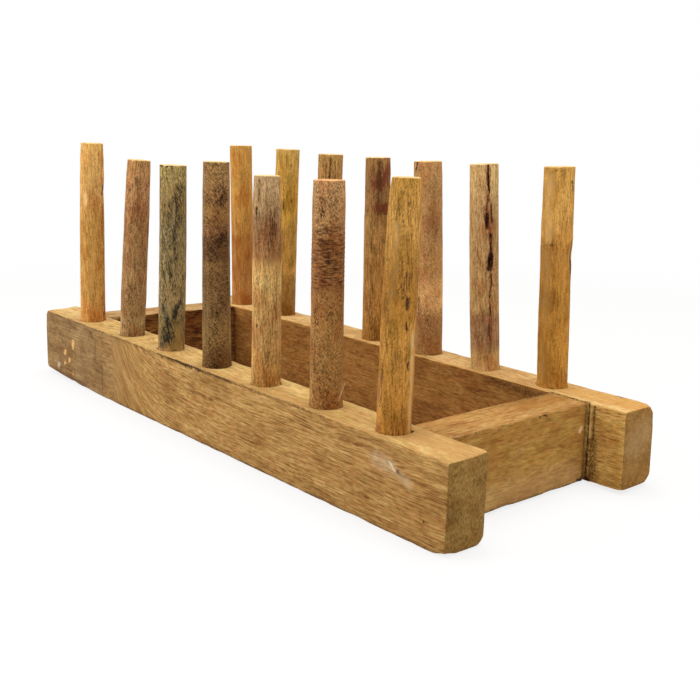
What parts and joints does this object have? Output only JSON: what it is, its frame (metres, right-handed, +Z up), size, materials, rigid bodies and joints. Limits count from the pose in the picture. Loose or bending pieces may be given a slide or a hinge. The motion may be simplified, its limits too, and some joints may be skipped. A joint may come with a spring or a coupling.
{
  "type": "plate rack",
  "caption": "Free-standing wooden plate rack: a rectangular frame of nailed rails with upright whittled pegs along both long sides, which hold plates on edge.",
  "frame": {"origin": "on the surface the rack stands on, under the centre of its bounding box", "axes": "+X along the long rails towards the square end, +Y from the front rail to the back rail, +Z up"},
  "size_m": [0.435, 0.1528, 0.1738],
  "materials": {
    "front_rail_wood": "sanded, lightly oiled",
    "back_rail_wood": "sanded, lightly oiled",
    "left_cross_wood": "sanded, lightly oiled",
    "right_cross_wood": "sanded, lightly oiled",
    "front_peg_1_wood": "whittled, matt",
    "front_peg_2_wood": "whittled, matt",
    "front_peg_3_wood": "whittled, matt",
    "front_peg_4_wood": "whittled, matt",
    "front_peg_5_wood": "whittled, matt",
    "front_peg_6_wood": "whittled, matt",
    "front_peg_7_wood": "whittled, matt",
    "back_peg_1_wood": "whittled, matt",
    "back_peg_2_wood": "whittled, matt",
    "back_peg_3_wood": "whittled, matt",
    "back_peg_4_wood": "whittled, matt",
    "back_peg_5_wood": "whittled, matt",
    "back_peg_6_wood": "whittled, matt",
    "back_peg_7_wood": "whittled, matt",
    "nail_steel": "dull",
    "wood_filler": "matt putty"
  },
  "bodies": {
    "root": {"front_rail": "front_rail_wood", "back_rail": "back_rail_wood", "left_cross_rail": "left_cross_wood", "right_cross_rail": "right_cross_wood", "front_peg_1": "front_peg_1_wood", "front_peg_2": "front_peg_2_wood", "front_peg_3": "front_peg_3_wood", "front_peg_4": "front_peg_4_wood", "front_peg_5": "front_peg_5_wood", "front_peg_6": "front_peg_6_wood", "front_peg_7": "front_peg_7_wood", "back_peg_1": "back_peg_1_wood", "back_peg_2": "back_peg_2_wood", "back_peg_3": "back_peg_3_wood", "back_peg_4": "back_peg_4_wood", "back_peg_5": "back_peg_5_wood", "back_peg_6": "back_peg_6_wood", "back_peg_7": "back_peg_7_wood", "front_left_lower_nail": "nail_steel", "front_left_upper_nail": "nail_steel", "front_right_lower_nail": "nail_steel", "front_right_upper_nail": "nail_steel", "back_left_lower_nail": "nail_steel", "back_left_upper_nail": "nail_steel", "back_right_lower_nail": "nail_steel", "back_right_upper_nail": "nail_steel", "front_left_lower_filler": "wood_filler", "front_left_upper_filler": "wood_filler", "front_right_lower_filler": "wood_filler", "front_right_upper_filler": "wood_filler", "back_left_lower_filler": "wood_filler", "back_left_upper_filler": "wood_filler", "back_right_lower_filler": "wood_filler", "back_right_upper_filler": "wood_filler"}
  },
  "joints": []
}
